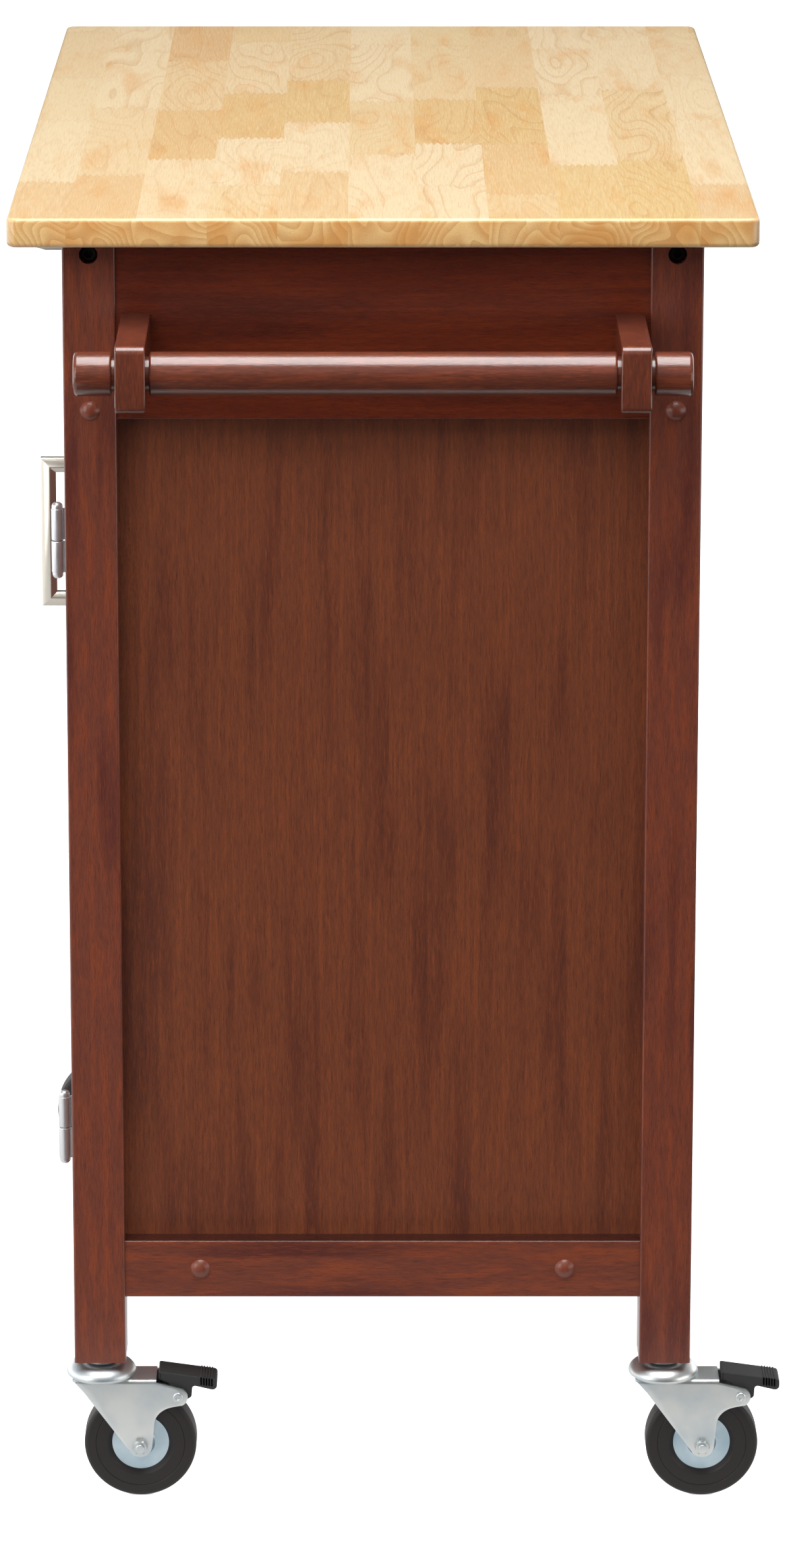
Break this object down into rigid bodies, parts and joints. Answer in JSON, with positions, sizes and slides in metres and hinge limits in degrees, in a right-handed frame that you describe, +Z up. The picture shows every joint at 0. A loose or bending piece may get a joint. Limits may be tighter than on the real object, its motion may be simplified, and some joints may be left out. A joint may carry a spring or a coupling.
{
  "type": "kitchen cart",
  "caption": "Wheeled kitchen cart: butcher-block top over a dark cabinet with a drawer, a framed door beside an open bay, a towel bar on one end and swivel casters with pedals.",
  "frame": {"origin": "on the floor, under the middle of the worktop", "axes": "+X to the end with the towel bar, -Y to the front with the drawer and the door, +Z up"},
  "size_m": [0.824, 0.517, 0.882],
  "materials": {
    "butcher_block_wood": "satin lacquer",
    "mahogany_stained_wood": "satin stain",
    "drawer_box_wood": "bare, sanded",
    "bright_steel": "nickel plated",
    "brushed_nickel": "brushed",
    "zinc_plated_steel": "zinc plated",
    "tyre": "matte",
    "black_plastic": "moulded"
  },
  "bodies": {
    "cabinet": {"worktop": "butcher_block_wood", "post_front_right": "mahogany_stained_wood", "post_back_right": "mahogany_stained_wood", "post_front_left": "mahogany_stained_wood", "post_back_left": "mahogany_stained_wood", "side_apron_right": "mahogany_stained_wood", "side_apron_left": "mahogany_stained_wood", "side_rail_right": "mahogany_stained_wood", "side_rail_left": "mahogany_stained_wood", "side_panel_right": "mahogany_stained_wood", "side_panel_left": "mahogany_stained_wood", "front_top_rail": "mahogany_stained_wood", "front_mid_rail": "mahogany_stained_wood", "front_bottom_rail": "mahogany_stained_wood", "back_top_rail": "mahogany_stained_wood", "back_mid_rail": "mahogany_stained_wood", "back_panel": "mahogany_stained_wood", "centre_partition": "mahogany_stained_wood", "bottom_shelf": "mahogany_stained_wood", "shelf_right": "mahogany_stained_wood", "shelf_left": "mahogany_stained_wood", "towel_bar": "mahogany_stained_wood", "towel_bar_caps": "mahogany_stained_wood", "towel_brackets": "mahogany_stained_wood", "dome_plugs": "mahogany_stained_wood", "shelf_pins": "bright_steel", "wood_screws": "bright_steel", "frame_bolts": "bright_steel", "post_hinge_leaves": "bright_steel", "drawer_runners": "bright_steel", "magnetic_catch": "bright_steel", "caster_stems": "zinc_plated_steel"},
    "drawer": {"drawer_front": "mahogany_stained_wood", "drawer_side_right": "drawer_box_wood", "drawer_side_left": "drawer_box_wood", "drawer_back": "drawer_box_wood", "drawer_bottom": "drawer_box_wood", "drawer_pull": "brushed_nickel", "drawer_slides": "bright_steel"},
    "door": {"door_stile_hinge": "mahogany_stained_wood", "door_stile_pull": "mahogany_stained_wood", "door_rail_top": "mahogany_stained_wood", "door_rail_bottom": "mahogany_stained_wood", "door_panel": "mahogany_stained_wood", "door_pull": "brushed_nickel", "door_hinge_leaves": "bright_steel"},
    "fork_front_right": {"caster_fork_front_right": "zinc_plated_steel"},
    "wheel_front_right": {"wheel_hub_front_right": "zinc_plated_steel", "wheel_tyre_front_right": "tyre"},
    "fork_back_right": {"caster_fork_back_right": "zinc_plated_steel"},
    "wheel_back_right": {"wheel_hub_back_right": "zinc_plated_steel", "wheel_tyre_back_right": "tyre"},
    "fork_front_left": {"caster_fork_front_left": "zinc_plated_steel"},
    "wheel_front_left": {"wheel_hub_front_left": "zinc_plated_steel", "wheel_tyre_front_left": "tyre"},
    "fork_back_left": {"caster_fork_back_left": "zinc_plated_steel"},
    "wheel_back_left": {"wheel_hub_back_left": "zinc_plated_steel", "wheel_tyre_back_left": "tyre"},
    "pedal_front_right": {"brake_pedal_front_right": "black_plastic"},
    "pedal_back_right": {"brake_pedal_back_right": "black_plastic"}
  },
  "joints": [
    {"name": "drawer_slide", "type": "slide", "parent": "cabinet", "child": "drawer", "axis": [0, -1, 0], "range_m": [0, 0.26]},
    {"name": "door_hinge", "type": "hinge", "parent": "cabinet", "child": "door", "pos_m": [0.3063, -0.2116, 0.453], "axis": [0, 0, 1], "range_deg": [0, 170]},
    {"name": "swivel_front_right", "type": "hinge", "parent": "cabinet", "child": "fork_front_right", "pos_m": [0.325, -0.188, 0.09], "axis": [0, 0, 1], "continuous": true},
    {"name": "wheel_turn_front_right", "type": "hinge", "parent": "fork_front_right", "child": "wheel_front_right", "pos_m": [0.325, -0.162, 0.0375], "axis": [1, 0, 0], "continuous": true},
    {"name": "swivel_back_right", "type": "hinge", "parent": "cabinet", "child": "fork_back_right", "pos_m": [0.325, 0.188, 0.09], "axis": [0, 0, 1], "continuous": true},
    {"name": "wheel_turn_back_right", "type": "hinge", "parent": "fork_back_right", "child": "wheel_back_right", "pos_m": [0.325, 0.214, 0.0375], "axis": [1, 0, 0], "continuous": true},
    {"name": "swivel_front_left", "type": "hinge", "parent": "cabinet", "child": "fork_front_left", "pos_m": [-0.325, -0.188, 0.09], "axis": [0, 0, 1], "continuous": true},
    {"name": "wheel_turn_front_left", "type": "hinge", "parent": "fork_front_left", "child": "wheel_front_left", "pos_m": [-0.325, -0.214, 0.0375], "axis": [1, 0, 0], "continuous": true},
    {"name": "swivel_back_left", "type": "hinge", "parent": "cabinet", "child": "fork_back_left", "pos_m": [-0.325, 0.188, 0.09], "axis": [0, 0, 1], "continuous": true},
    {"name": "wheel_turn_back_left", "type": "hinge", "parent": "fork_back_left", "child": "wheel_back_left", "pos_m": [-0.325, 0.162, 0.0375], "axis": [1, 0, 0], "continuous": true},
    {"name": "brake_front_right", "type": "hinge", "parent": "fork_front_right", "child": "pedal_front_right", "pos_m": [0.325, -0.13652, 0.07203], "axis": [-1, 0, 0], "range_deg": [0, 12]},
    {"name": "brake_back_right", "type": "hinge", "parent": "fork_back_right", "child": "pedal_back_right", "pos_m": [0.325, 0.23948, 0.07203], "axis": [-1, 0, 0], "range_deg": [0, 12]}
  ]
}
